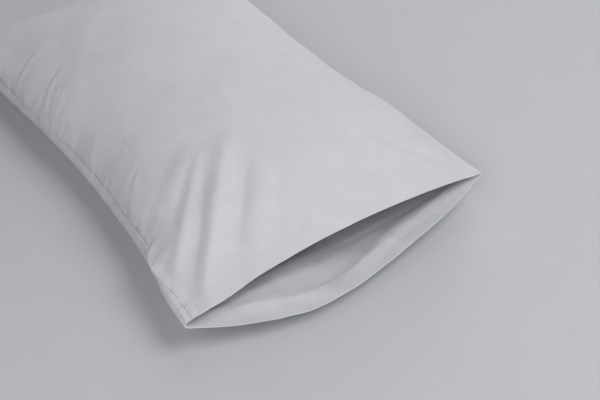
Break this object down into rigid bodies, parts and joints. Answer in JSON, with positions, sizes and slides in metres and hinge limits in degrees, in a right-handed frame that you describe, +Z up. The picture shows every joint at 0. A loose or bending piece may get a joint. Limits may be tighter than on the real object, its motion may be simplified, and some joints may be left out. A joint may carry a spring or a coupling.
{
  "type": "pillowcase",
  "caption": "Plain pillowcase lying filled out on its back panel, open at the mouth, for holding a bed pillow.",
  "frame": {"origin": "under the middle of the case's outline, on the surface it lies on", "axes": "+X across the mouth, +Y from the mouth to the closed end, +Z up"},
  "size_m": [0.4816, 0.7734, 0.1385],
  "materials": {
    "front_cloth": "fine plain weave, matt with a slight sheen",
    "back_cloth": "fine plain weave, matt with a slight sheen"
  },
  "bodies": {
    "root": {"front_panel": "front_cloth", "back_panel": "back_cloth"}
  },
  "joints": []
}
